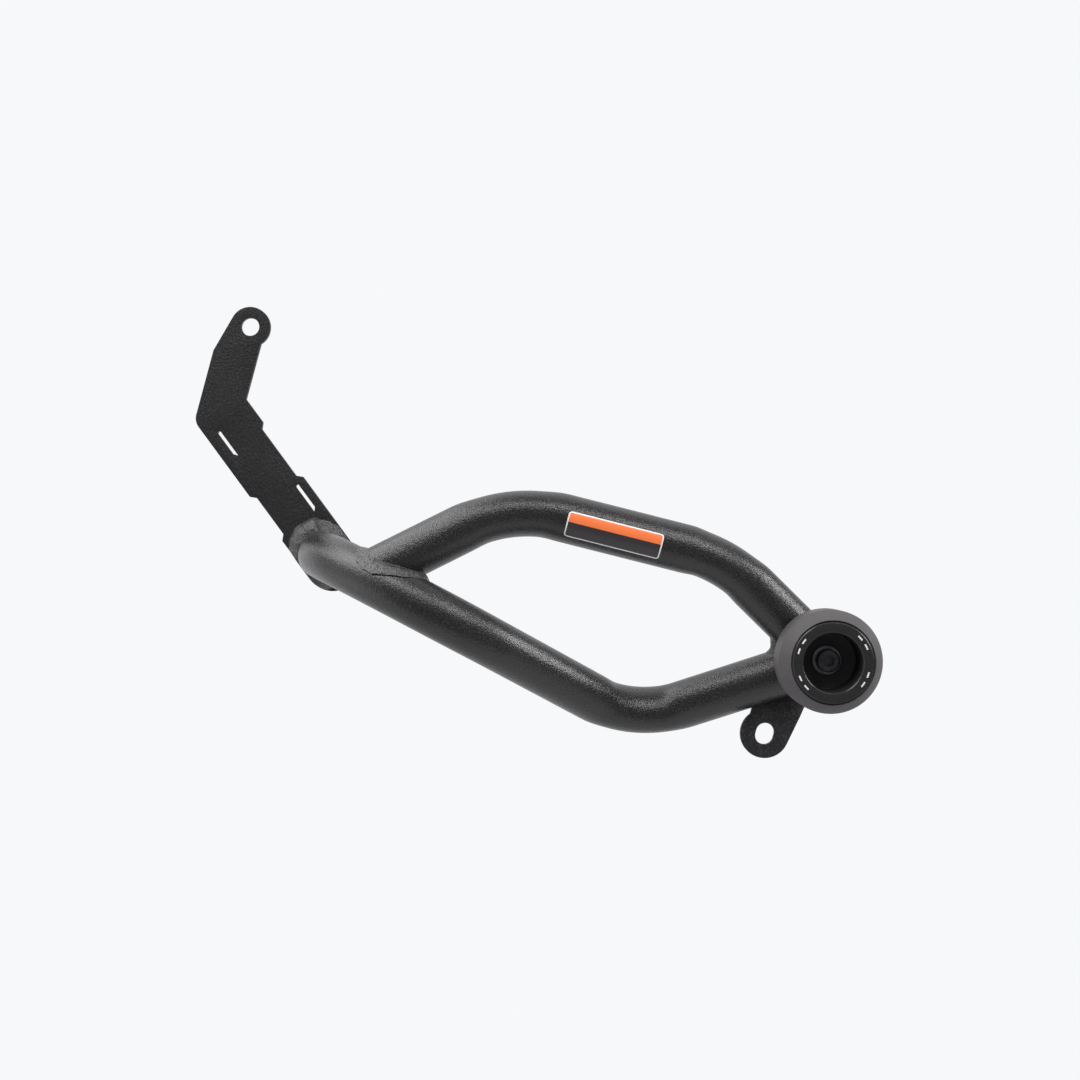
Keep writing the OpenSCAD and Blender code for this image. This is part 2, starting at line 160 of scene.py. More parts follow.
class LabelSettings(bpy.types.PropertyGroup):
    length: measure("Length", "Length of the label", 55.5, 40, 62)
    width: measure("Width", "Width of the label", 15.2, 10, 20)
    shift: measure("Shift", "How far the label lies from the stretch's middle, towards the crest", 2.2, 0, 4)
    corner: measure("Corner", "Radius of the label's corners", 2, 0.5, 4)


class ColourSettings(bpy.types.PropertyGroup):
    plate: colour("Plate", "Powder coat on the upper plate", (0.0074, 0.0069, 0.0079))
    tube: colour("Tubes", "Powder coat on the tubes", (0.0140, 0.0129, 0.0137))
    weld: colour("Welds", "Powder coat over the weld beads", (0.039, 0.037, 0.0385))
    tab: colour("Tab", "Powder coat on the lower tab", (0.017, 0.016, 0.018))
    nylon: colour("Nylon", "Turned nylon of the puck", (0.077, 0.071, 0.074))
    ring: colour("Ring", "Inlaid ring", (0.011, 0.011, 0.0115))
    screw: colour("Screw", "Blackened screw", (0.012, 0.012, 0.013))
    marks: colour("Marks", "Printed marks and border", (0.82, 0.80, 0.80))
    band: colour("Band", "Upper band of the label", (0.87, 0.19, 0.053))
    field: colour("Field", "Lower field of the label", (0.03, 0.025, 0.028))
    backdrop: colour("Backdrop", "Studio backdrop", (0.930, 0.939, 0.956))


class CrashBarSettings(bpy.types.PropertyGroup):
    tube: group_of(TubeSettings, "Tubes", "Sizes of the tubes")
    plate: group_of(PlateSettings, "Plate", "Sizes of the plate")
    tab: group_of(TabSettings, "Tab", "Sizes of the tab")
    weld: group_of(WeldSettings, "Welds", "Shape of the beads")
    puck: group_of(PuckSettings, "Puck", "Sizes of the puck")
    label: group_of(LabelSettings, "Label", "Sizes of the label")
    colours: group_of(ColourSettings, "Colours", "All colours")


def settings():
    """The settings of this scene."""
    return bpy.context.scene.crash_bar


# Shader maths


def math_node(operation, reflected=False):
    """A method of Socket that adds one Math node, with the socket as its first or its last value."""

    def method(self, *others):
        return self.maths(operation, *((*others, self) if reflected else (self, *others)))

    return method


class Socket:
    """A shader value: Python's operators on it add Math nodes."""

    def __init__(self, finish, link):
        self.finish = finish
        self.link = link

    def maths(self, operation, *values):
        return self.finish.node("ShaderNodeMath", 0, {"operation": operation}, dict(enumerate(values)))

    __add__, __radd__ = math_node("ADD"), math_node("ADD", True)
    __sub__, __rsub__ = math_node("SUBTRACT"), math_node("SUBTRACT", True)
    __mul__, __rmul__ = math_node("MULTIPLY"), math_node("MULTIPLY", True)
    __lt__, __gt__ = math_node("LESS_THAN"), math_node("GREATER_THAN")
    __abs__, sine, root = math_node("ABSOLUTE"), math_node("SINE"), math_node("SQRT")
    angle, larger, smaller = math_node("ARCTAN2"), math_node("MAXIMUM"), math_node("MINIMUM")

    def ramp(self, low, high):
        """0 below low, 1 above high and smooth between."""
        return self.finish.node("ShaderNodeMapRange", 0, {"interpolation_type": "SMOOTHSTEP"},
                                {"Value": self, "From Min": low, "From Max": high})


class Finish:
    """One material and the nodes that make it."""

    def __init__(self, name, plain):
        self.material = bpy.data.materials.new(name)
        self.material.use_nodes = True
        self.tree = self.material.node_tree
        self.tree.nodes.clear()
        self.shader = self.add("ShaderNodeBsdfPrincipled", {}, plain)
        self.add("ShaderNodeOutputMaterial", {}, {"Surface": Socket(self, self.shader.outputs[0])})

    def feed(self, node, socket, value):
        """Links a socket to a shader value, or sets it to a number, vector or colour."""
        place = node.inputs[socket]
        if isinstance(value, Socket):
            self.tree.links.new(value.link, place)
        else:
            place.default_value = (*value, 1) if place.type == "RGBA" else value

    def add(self, kind, options, sockets):
        """A node of a kind, whose options are set before its sockets."""
        node = self.tree.nodes.new(kind)
        for option, value in options.items():
            setattr(node, option, value)
        for socket, value in sockets.items():
            self.feed(node, socket, value)
        return node

    def node(self, kind, output, options, sockets):
        """One output of a new node."""
        return Socket(self, self.add(kind, options, sockets).outputs[output])

    def place(self, source="Object"):
        """Object coordinates, or the piece's own UV map."""
        return self.node("ShaderNodeTexCoord", source, {}, {})

    def parts(self, vector):
        """The three numbers of a vector."""
        node = self.add("ShaderNodeSeparateXYZ", {}, {0: vector})
        return [Socket(self, out) for out in node.outputs]

    def noise(self, size, detail=2.0, roughness=0.5):
        """Noise whose features are about a size across."""
        sockets = {"Vector": self.place(), "Scale": 1 / size, "Detail": detail, "Roughness": roughness}
        return self.node("ShaderNodeTexNoise", "Fac", {}, sockets)

    def mix(self, mask, low, high):
        """Colour low where the mask is 0 and high where it is 1."""
        return self.node("ShaderNodeMix", 2, {"data_type": "RGBA"}, {0: mask, 6: low, 7: high})

    def relief(self, *layers):
        """Bumps of (height, depth in metres), one over the other, on the surface."""
        sockets = {}
        for height, depth in layers:
            sockets.update({"Height": height, "Distance": depth, "Strength": 1.0})
            sockets["Normal"] = self.node("ShaderNodeBump", 0, {}, sockets)
        self.feed(self.shader, "Normal", sockets["Normal"])

    def painted(self, base, roughness):
        """The material, with what varies over it in place."""
        self.feed(self.shader, "Base Color", base)
        self.feed(self.shader, "Roughness", roughness)
        return self.material


def shade(tone, factor):
    """A tone made lighter or darker."""
    return tuple(min(1.0, channel * factor) for channel in tone)


def powder_coat(name, tone, grain, depth, roughness, gloss, speckle):
    """Baked powder coat: fine orange peel, a slow unevenness, and pits and flecks of its grain."""
    finish = Finish(name, {"Specular IOR Level": gloss})
    peel = finish.noise(grain * 2.4, 1.0)
    fine = finish.noise(grain, roughness=0.6)
    cloud = finish.noise(22 * MM)
    finish.relief((peel, depth), (fine, depth))
    base = finish.mix(cloud.ramp(0.3, 0.7), shade(tone, 0.93), shade(tone, 1.07))
    pits, flecks = fine.ramp(0.5, 0.34), fine.ramp(0.54, 0.7)
    base = finish.mix(pits * speckle, base, shade(tone, 0.25))
    base = finish.mix(flecks * speckle, base, shade(tone, 3.2))
    return finish.painted(base, roughness + (fine - 0.5) * 0.4 + (cloud - 0.5) * 0.06)


# Mesh helpers


def axes_at(place, x, z):
    """Matrix with its x and z axes along two directions, which are squared up, at a place."""
    z = z.normalized()
    x = (x - z * x.dot(z)).normalized()
    turn = Matrix((x, z.cross(x), z)).transposed().to_4x4()
    return Matrix.Translation(place) @ turn


def ring_edges(bm, verts):
    """Edges whose two ends are both among some vertices."""
    chosen = set(verts)
    return [e for e in bm.edges if e.verts[0] in chosen and e.verts[1] in chosen]


def verts_in(made):
    """The vertices among what an operator made."""
    return [part for part in made if isinstance(part, bmesh.types.BMVert)]


def pull_out(bm, edges, reach):
    """Extrudes edges by a vector and returns the new vertices."""
    verts = verts_in(bmesh.ops.extrude_edge_only(bm, edges=edges)["geom"])
    bmesh.ops.translate(bm, verts=verts, vec=reach)
    return verts


def bridge(bm, loops, closed=False):
    """Joins each loop of edges to the next by faces."""
    for a, b in zip(loops, loops[1:] + (loops[:1] if closed else [])):
        bmesh.ops.bridge_loops(bm, edges=a + b)


def cut_through(bm, place, normal, clear=False):
    """Cuts every face along a plane, clears what is beyond it if asked, and returns what lies on the cut."""
    return bmesh.ops.bisect_plane(bm, geom=bm.verts[:] + bm.edges[:] + bm.faces[:], dist=NUDGE * 0.1,
                                  plane_co=place, plane_no=normal, clear_outer=clear)["geom_cut"]


def open_ring(bm, place, x, z, radius, sides):
    """A circle of loose edges, in order."""
    return bmesh.ops.create_circle(bm, segments=sides, radius=radius, matrix=axes_at(place, x, z))["verts"]


def profile_edges(bm, points, closed=True):
    """Vertices at some places, joined in order by edges."""
    verts = [bm.verts.new(p) for p in points]
    pairs = zip(verts, verts[1:] + verts[:1]) if closed else zip(verts, verts[1:])
    return verts, [bm.edges.new(pair) for pair in pairs]


def round_edges(bm, size, segments, least, keep=None):
    """Bevels the edges sharper than an angle in degrees, or those of them that a test keeps."""
    limit = math.radians(least)
    sharp = [e for e in bm.edges if len(e.link_faces) == 2 and e.calc_face_angle(0) > limit
             and (keep is None or keep(e))]
    bmesh.ops.bevel(bm, geom=sharp, offset=size, offset_type="OFFSET", affect="EDGES", segments=segments,
                    profile=0.5, material=-1, clamp_overlap=True)


def along_sheet(edge):
    """Whether an edge lies in one of a sheet's two faces, and not across its thickness."""
    return abs(edge.verts[0].co.y - edge.verts[1].co.y) < NUDGE


def add_object(name, data):
    """A new object in the scene."""
    made = bpy.data.objects.new(name, data)
    bpy.context.scene.collection.objects.link(made)
    return made


def finish_piece(bm, name, node, coat, smooth_angle=35):
    """Turns a bmesh into the piece that stands for a CAD node."""
    bmesh.ops.remove_doubles(bm, verts=bm.verts, dist=NUDGE * 0.1)
    bmesh.ops.recalc_face_normals(bm, faces=bm.faces)
    mesh = bpy.data.meshes.new(name)
    for face in bm.faces:
        face.smooth = True
    for edge in bm.edges:
        edge.smooth = not (len(edge.link_faces) == 2
                           and edge.calc_face_angle(0) > math.radians(smooth_angle))
    bm.to_mesh(mesh)
    bm.free()
    piece = add_object(name, mesh)
    mesh.materials.append(coats()[coat])
    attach(piece, "root")
    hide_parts(node)


def spun(name, node, coat, profile, steps, bevel):
    """A turned piece on the puck's axis, from a closed profile of (radius, distance out)."""
    bm = bmesh.new()
    points = [Vector((PUCK_X + r, PUCK_BACK - out, PUCK_Z)) for r, out in profile]
    verts, edges = profile_edges(bm, points)
    bmesh.ops.spin(bm, geom=verts + edges, cent=(PUCK_X, 0, PUCK_Z), axis=(0, 1, 0), angle=FULL_TURN,
                   steps=steps, use_merge=True)
    bmesh.ops.remove_doubles(bm, verts=bm.verts, dist=NUDGE)
    round_edges(bm, bevel, 3, 20)
    finish_piece(bm, name, node, coat)


# Tubes


class Bend:
    """One bend of a route, with its section's flattening."""

    def __init__(self, corner, before, after, radius, flatten):
        self.radius = radius
        self.turn = before.angle(after)
        cut = radius * math.tan(self.turn / 2)
        self.start = corner - before * cut
        self.end = corner + after * cut
        self.inward = (after - before * after.dot(before)).normalized()
        self.before = before
        self.axis = before.cross(self.inward).normalized()
        self.centre = self.start + self.inward * self.radius
        self.flatten = flatten

    def distance(self, point):
        """Distance from the bend's centreline circle."""
        arm = point - self.centre
        height = arm.dot(self.axis)
        return math.hypot((arm - self.axis * height).length - self.radius, height)

    def outward(self, point):
        """The direction straight out of the bend's skin at a point."""
        arm = point - self.centre
        flat = arm - self.axis * arm.dot(self.axis)
        return (point - (self.centre + flat.normalized() * self.radius)).normalized()

    def squeeze(self, point):
        """A point of the skin, moved as the flattening moves it."""
        arm = point - self.centre
        share = math.atan2(arm.dot(self.before), -arm.dot(self.inward)) / self.turn
        if not 0 < share < 1:
            return point
        height = arm.dot(self.axis)
        out = arm - self.axis * height
        rise = min(1.0, 4 * min(share, 1 - share))
        amount = self.flatten * rise * rise * (3 - 2 * rise)
        ring = out.normalized() * self.radius
        return self.centre + ring + (out - ring) * (1 - amount) + self.axis * height * (1 + amount * 0.4)


def route_bends(route, shapes):
    """The directions and bends of a route, whose shapes are (radius, flattening)."""
    dirs = [(b - a).normalized() for a, b in zip(route, route[1:])]
    return dirs, [Bend(corner, *pair, *shape)
                  for corner, pair, shape in zip(route[1:], zip(dirs, dirs[1:]), shapes)]


def skin(bm, route, bends, dirs, radius, sides, first_x):
    """An open tube skin along a route: straights are extruded and bends are spun."""
    first = ring = open_ring(bm, route[0], first_x, dirs[0], radius, sides)
    place = route[0]

    def extrude_to(target, ring):
        reach = target - place
        pieces = max(1, round(reach.length / STRAIGHT_PIECE))
        for _ in range(pieces):
            ring = pull_out(bm, ring_edges(bm, ring), reach / pieces)
        return ring

    for bend in bends:
        ring = extrude_to(bend.start, ring)
        steps = max(8, round(math.degrees(bend.turn) / BEND_PIECE))
        before = set(bm.verts)
        made = bmesh.ops.spin(bm, geom=ring + ring_edges(bm, ring), cent=bend.centre, axis=bend.axis,
                              angle=bend.turn, steps=steps)["geom_last"]
        for vert in set(bm.verts) - before:
            vert.co = bend.squeeze(vert.co)
        ring = verts_in(made)
        place = bend.end
    return first, extrude_to(route[-1], ring)


def first_meeting(start, direction, inside, ahead, behind, step):
    """Where a line, followed back from outside, first meets a body, or comes closest to it."""
    best = None
    for k in range(round((ahead + behind) / step)):
        trial = start + direction * (ahead - k * step)
        depth = inside(trial)
        if best is None or depth > best[0]:
            best = (depth, trial)
        if depth > 0:
            break
    return best[1]


def cope(ring, direction, inside, reach):
    """Moves a ring's vertices along a direction, from outside, to where they first meet a body."""
    for vert in ring:
        vert.co = first_meeting(vert.co, direction, inside, reach, reach, 0.5 * MM)


def boss_depth(point):
    """How far a point lies inside the boss, a little under its surface."""
    return BOSS_RADIUS - SEAM - math.hypot(point.x - PUCK_X, point.z - PUCK_Z)


def tube_piece(name, node, route, shapes, first_x, start_cope=None):
    """A hollow tube along a route, its ends cut to the boss and to what it starts from."""
    size = settings().tube
    dirs, bends = route_bends(route, shapes)
    bm = bmesh.new()
    ends = [skin(bm, route, bends, dirs, radius, size.sides, first_x)
            for radius in (size.diameter / 2, size.diameter / 2 - size.wall)]
    for first, last in ends:
        if start_cope:
            cope(first, dirs[0], start_cope, 50 * MM)
        cope(last, -dirs[-1], boss_depth, 40 * MM)
    for outer, inner in zip(*ends):
        bridge(bm, [ring_edges(bm, outer), ring_edges(bm, inner)])
    finish_piece(bm, name, node, "tube", smooth_angle=60)


class MainTube(bpy.types.Operator):
    """Bends the main tube from the plate, through the elbow and the knee, to the hub"""
    bl_idname = "crash_bar.main_tube"
    bl_label = "Main Tube"

    def execute(self, context):
        size = settings().tube
        # The knee is tighter than the other bends, and flattens twice as much
        shapes = [(size.bend_radius, ELBOW_FLATTEN), (size.knee_radius, 2 * size.flatten)]
        tube_piece("main_tube_coated", "main_tube", [SEAT, ELBOW, KNEE, HUB], shapes, Vector((1, 0, 0)))
        return {"FINISHED"}


class BranchTube(bpy.types.Operator):
    """Bends the branch tube from the elbow, over the crest and the shoulder, to the hub"""
    bl_idname = "crash_bar.branch_tube"
    bl_label = "Branch Tube"

    def execute(self, context):
        size = settings().tube
        elbow = elbow_bend()
        radius = size.diameter / 2 - SEAM
        tube_piece("branch_tube_coated", "branch_tube", [BRANCH_FOOT, CREST, SHOULDER, HUB],
                   [(size.bend_radius, size.flatten)] * 2, OUTBOARD,
                   start_cope=lambda p: radius - elbow.distance(p))
        return {"FINISHED"}


def elbow_bend():
    """The main tube's bend that the branch starts from."""
    return Bend(ELBOW, LEAD_DIR, (KNEE - ELBOW).normalized(), settings().tube.bend_radius, ELBOW_FLATTEN)


# Boss, puck and its small parts


def plain_ring(inner, outer, low, high):
    """The closed profile of a ring with square edges."""
    return [(inner, low), (outer, low), (outer, high), (inner, high)]


class HubBoss(bpy.types.Operator):
    """Turns the boss that both tubes end in"""
    bl_idname = "crash_bar.hub_boss"
    bl_label = "Hub Boss"

    def execute(self, context):
        profile = plain_ring(BORE_RADIUS, BOSS_RADIUS, -BOSS_LENGTH, 0)
        spun("hub_boss_coated", "hub_boss", "boss", profile, 128, 0.8 * MM)
        return {"FINISHED"}


def groove_sides(size):
    """Radii of the two sides of the groove: the ring's outer edge and the puck's rim."""
    return size.ring / 2 - size.groove * 0.8, size.ring / 2 + size.groove * 0.2


def puck_edge(size, steps):
    """The crowned front edge of the puck, from its side to its rim."""
    start = Vector((size.diameter / 2, size.side))
    end = Vector((groove_sides(size)[1], size.length - 0.2 * MM))
    chord = end - start
    out = Vector((chord.y, -chord.x)).normalized()
    return [tuple(start.lerp(end, k / steps) + out * size.crown * 4 * (k / steps) * (1 - k / steps))
            for k in range(steps + 1)]


class SliderPuck(bpy.types.Operator):
    """Turns the nylon puck with its recess"""
    bl_idname = "crash_bar.slider_puck"
    bl_label = "Slider Puck"

    def execute(self, context):
        size = settings().puck
        seat = size.length - RING_DEPTH
        profile = [(BORE_RADIUS, 0), (size.diameter / 2, 0)] + puck_edge(size, 14)
        profile += [(groove_sides(size)[1], seat), (size.recess / 2, seat), (size.recess / 2, RECESS_FLOOR),
                    (BORE_RADIUS, RECESS_FLOOR)]
        spun("slider_puck_turned", "slider_puck", "nylon", profile, 144, 0.3 * MM)
        return {"FINISHED"}


class PuckRing(bpy.types.Operator):
    """Turns the inlaid ring round the recess"""
    bl_idname = "crash_bar.puck_ring"
    bl_label = "Puck Ring"

    def execute(self, context):
        size = settings().puck
        low, high, slope = size.length - RING_DEPTH, size.length, 0.6 * MM
        outer, inner = groove_sides(size)[0], size.recess / 2
        profile = [(inner, low), (outer, low), (outer, high - slope), (outer - slope, high),
                   (inner + slope, high), (inner, high - slope)]
        spun("puck_ring_printed", "puck_ring", "ring", profile, 144, 0.1 * MM)
        return {"FINISHED"}


class PuckFasteners(bpy.types.Operator):
    """Makes the washer and the socket screw in the recess"""
    bl_idname = "crash_bar.puck_fasteners"
    bl_label = "Washer and Screw"

    def execute(self, context):
        top = RECESS_FLOOR + WASHER_THICKNESS
        washer = plain_ring(BORE_RADIUS, WASHER_RADIUS, RECESS_FLOOR, top)
        spun("puck_washer_plated", "puck_washer", "washer", washer, 96, 0.25 * MM)
        self.screw(top)
        return {"FINISHED"}

    def screw(self, seat):
        """Cap screw: the shank and head are rings joined by faces, and the socket is sunk into the top."""
        bm = bmesh.new()
        base = Vector((PUCK_X, PUCK_BACK - seat, PUCK_Z))
        side = Vector((1, 0, 0))
        # Distance out from the seat and radius, from the shank's tip to the head's top, in mm
        stages = [(-29.2, 3.2), (-28.4, 4.0), (-1.0, 4.0), (0.0, 4.3), (0.0, 6.2), (0.3, 6.5), (7.2, 6.5),
                  (7.7, 6.3), (8.0, 5.8)]
        sides, socket_radius, socket_depth = 72, 3.46 * MM, 4 * MM
        rings = [open_ring(bm, base + OUTBOARD * d * MM, side, OUTBOARD, r * MM, sides) for d, r in stages]
        bridge(bm, [ring_edges(bm, ring) for ring in rings])
        bmesh.ops.contextual_create(bm, geom=ring_edges(bm, rings[0]))
        socket = open_ring(bm, base + OUTBOARD * stages[-1][0] * MM, side, OUTBOARD, socket_radius, 6)
        bmesh.ops.triangle_fill(bm, edges=ring_edges(bm, rings[-1]) + ring_edges(bm, socket), use_beauty=True)
        deep = pull_out(bm, ring_edges(bm, socket), -OUTBOARD * socket_depth)
        bmesh.ops.contextual_create(bm, geom=ring_edges(bm, deep))
        finish_piece(bm, "puck_screw_blackened", "puck_screw", "screw")


# Plate and tab


def arc(centre, radius, start, end, steps):
    """Points along an arc in the plate's plane, angles in degrees from +X towards +Z."""
    return [(centre[0] + radius * math.cos(math.radians(start + (end - start) * k / steps)),
             centre[1] + radius * math.sin(math.radians(start + (end - start) * k / steps)))
            for k in range(steps + 1)]


class Strip:
    """A straight stretch of the plate, with places given along and across it, in mm.

    It runs from a start at an angle in degrees, and is half its width to either side of its middle.
    """

    def __init__(self, start, angle, half, shift=0):
        turn = math.radians(angle)
        self.along = (math.cos(turn), math.sin(turn))
        self.across = (-math.sin(turn), math.cos(turn))
        self.start = [start[i] + self.across[i] * shift for i in (0, 1)]
        self.half = half

    def at(self, along, across):
        return tuple(self.start[i] + self.along[i] * along + self.across[i] * across for i in (0, 1))

    def place(self, x, z):
        """How far along and across the strip a point lies."""
        dx, dz = x - self.start[0], z - self.start[1]
        return dx * self.along[0] + dz * self.along[1], dx * self.across[0] + dz * self.across[1]

    def notch(self, start, end, side):
        """A shallow recess in one edge, between two places along it."""
        depth = 3
        edge, floor = side * self.half, side * (self.half - depth)
        slope = math.copysign(depth, end - start)
        return [self.at(start, edge), self.at(start + slope, floor), self.at(end - slope, floor),
                self.at(end, edge)]


# The plate's upper arm, down from the bolt hole, and its lower arm, whose far end is round
ARM = Strip((0, 0), -105, 13.25, shift=-4.5)
FOOT = Strip((-18.193, -50.512), -53.7, 16.5)
FOOT_LENGTH = 115.3


def crossing(first, second, side):
    """Where the edges of two strips cross on one side, as a distance along the first."""
    p, q = first.at(0, side * first.half), second.at(0, side * second.half)
    a, b = first.along, second.along
    return ((q[0] - p[0]) * b[1] - (q[1] - p[1]) * b[0]) / (a[0] * b[1] - a[1] * b[0])


def plate_outline():
    """Outer edge of the plate, in mm, and its two slots."""
    head, corner = 12, 9
    # Directions from an arc's middle to the lower left edges of both arms, in degrees
    arm_out, foot_out = 165, 216
    full = ARM.at(19.5, -ARM.half)
    touch = math.degrees(math.atan2(full[1], full[0]) - math.acos(head / math.hypot(*full))) % 360
    aside = ARM.place(0, 0)[1]
    neck = ARM.at(math.sqrt(head ** 2 - (ARM.half - aside) ** 2), ARM.half)
    neck_end = math.degrees(math.atan2(neck[1], neck[0]))
    turn = math.acos(ARM.along[0] * FOOT.along[0] + ARM.along[1] * FOOT.along[1])
    outer = crossing(ARM, FOOT, -1) - corner * math.tan(turn / 2)
    points = arc((0, 0), head, neck_end, touch, 40)
    points.append(full)
    points += arc(ARM.at(outer, corner - ARM.half), corner, arm_out, foot_out, 14)
    points += FOOT.notch(53, 86, -1)
    points += arc(FOOT.at(FOOT_LENGTH, 0), FOOT.half, foot_out, foot_out + 180, 48)
    points += FOOT.notch(62, 21, 1)
    points.append(ARM.at(crossing(ARM, FOOT, 1), ARM.half))
    slots = []
    half_length, half_width = 9.25, 1.1
    # Each slot's middle, and how far the corners of its slanted end lie beyond or short of its length
    for along, side, low, high in ((19, -8.5, -2.6, 0.3), (73, 10.5, 1.2, -1.2)):
        start, end = along - half_length, along + half_length
        left, right = side - half_width, side + half_width
        slots.append([FOOT.at(start + 0.7, left), FOOT.at(end + low, left), FOOT.at(end + high, right),
                      FOOT.at(start + 0.4, right), FOOT.at(start, right - 0.5), FOOT.at(start, left + 0.6)])
    return points, slots


def sheet_from(bm, loops, back, forward):
    """A sheet with holes: its loops are filled at one depth and pushed to another."""
    edges = []
    for loop in loops:
        edges += profile_edges(bm, [Vector((x * MM, back, z * MM)) for x, z in loop])[1]
    bmesh.ops.triangle_fill(bm, edges=edges, use_beauty=True)
    made = bmesh.ops.extrude_face_region(bm, geom=bm.faces[:], use_keep_orig=True)["geom"]
    bmesh.ops.translate(bm, verts=verts_in(made), vec=(0, forward - back, 0))


class UpperPlate(bpy.types.Operator):
    """Cuts the dog-leg plate with its bolt hole and slots"""
    bl_idname = "crash_bar.upper_plate"
    bl_label = "Upper Plate"

    def execute(self, context):
        size = settings().plate
        outline, slots = plate_outline()
        sides = 48
        hole = arc((0, 0), size.hole / 2 / MM, 0, 360 * (sides - 1) / sides, sides - 1)
        bm = bmesh.new()
        sheet_from(bm, [outline, hole] + slots, 0, -size.thickness)
        bmesh.ops.recalc_face_normals(bm, faces=bm.faces)
        round_edges(bm, size.edge, 3, 60, keep=along_sheet)
        finish_piece(bm, "upper_plate_coated", "upper_plate", "plate")
        return {"FINISHED"}


class LowerTab(bpy.types.Operator):
    """Cuts and folds the tab with its slotted hole"""
    bl_idname = "crash_bar.lower_tab"
    bl_label = "Lower Tab"

    def execute(self, context):
        size = settings().tab
        radius = size.end_radius / MM
        # The right side's flare in degrees, and in mm from the hole's middle the top edge, the left side
        # and the middles of the hole's two round ends
        flare, edge, left, shift = 11, 44, 11, 1
        hole_radius = 5.25
        # The rows of cuts that let the sheet bend: the first one's height and their distance, and how many
        first_cut, pitch, cuts = 11.5, 0.42, 15
        start = 180 - math.degrees(math.acos(left / radius))
        outline = arc((0, 0), radius, start, 360 - flare, 48)
        turn = math.radians(flare)
        outline += [(radius / math.cos(turn) + math.tan(turn) * edge, edge), (-left, edge)]
        hole = arc((0, shift), hole_radius, 0, 180, 20) + arc((0, -shift), hole_radius, 180, 360, 20)
        bm = bmesh.new()
        sheet_from(bm, [outline, hole], size.thickness, 0)
        for k in range(cuts):
            cut_through(bm, (0, 0, (first_cut + k * pitch) * MM), (0, 0, 1))
        bmesh.ops.recalc_face_normals(bm, faces=bm.faces)
        round_edges(bm, 0.5 * MM, 2, 60, keep=along_sheet)
        self.fold(bm, size)
        self.trim(bm, size)
        bmesh.ops.transform(bm, matrix=self.stand(size), verts=bm.verts)
        finish_piece(bm, "lower_tab_folded", "lower_tab", "tab")
        return {"FINISHED"}

    def stand(self, size):
        """From the tab's own axes to its place."""
        return Matrix.Translation(TAB_HOLE) @ Matrix.Rotation(size.lean, 4, "Y")

    def fold(self, bm, size):
        """Bends the sheet inboard above the fold line."""
        inner, line = 5 * MM, 14.5 * MM
        centre = inner + size.thickness
        start = line - centre * math.tan(size.fold / 2)
        length = centre * size.fold
        for vert in bm.verts:
            over = vert.co.z - start
            if over <= 0:
                continue
            angle = min(over / centre, size.fold)
            beyond = max(0.0, over - length)
            reach = centre - vert.co.y
            vert.co.y = centre - reach * math.cos(angle) + beyond * math.sin(angle)
            vert.co.z = start + reach * math.sin(angle) + beyond * math.cos(angle)

    def trim(self, bm, size):
        """Cuts the top off, along a line inside the main tube and below its middle."""
        below, tail_slope = 7 * MM, math.radians(18.7)
        back = self.stand(size).inverted()
        point = back @ (HUB - Vector((0, 0, below / math.cos(tail_slope))))
        normal = back.to_3x3() @ Vector((-TAIL_DIR.z, 0, TAIL_DIR.x)).normalized()
        made = cut_through(bm, point, normal, clear=True)
        bmesh.ops.contextual_create(bm, geom=[g for g in made if isinstance(g, bmesh.types.BMEdge)])


# Weld beads


def lump(place, size):
    """A smooth random height from -1 to 1 at a place."""
    return noise.noise(place / size)


def bumps(place, size, finer):
    """Lumps of one size, with finer ones half as high on them."""
    return lump(place, size) + 0.5 * lump(place, size / finer)


def interpolate(table, angle):
    """A value from a table of (degrees, value), smooth round the full turn."""
    angle %= 360
    last = (table[-1][0] - 360, table[-1][1])
    for point in table + [(table[0][0] + 360, table[0][1])]:
        if angle <= point[0]:
            break
        last = point
    share = (angle - last[0]) / (point[0] - last[0])
    return last[1] + (point[1] - last[1]) * share * share * (3 - 2 * share)


def close_bead(bm, sections):
    """A closed bead, bridged through sections of the same number of points."""
    bridge(bm, [profile_edges(bm, points)[1] for points in sections], closed=True)


def weld_piece(bm, name, node):
    """Turns a bmesh of one or more beads into a piece."""
    finish_piece(bm, name, node, "weld", smooth_angle=75)


def bead(name, node, sections):
    """A closed bead as a piece of its own."""
    bm = bmesh.new()
    close_bead(bm, sections)
    weld_piece(bm, name, node)


def off_boss(point):
    """The direction straight out of the boss at a point."""
    return Vector((point.x - PUCK_X, 0, point.z - PUCK_Z)).normalized()


def even(value):
    """A table with the same value all round."""
    return [(0, value), (180, value)]


def outboard_of(direction):
    """The direction across a tube that looks outboard."""
    return (OUTBOARD - direction * OUTBOARD.dot(direction)).normalized()


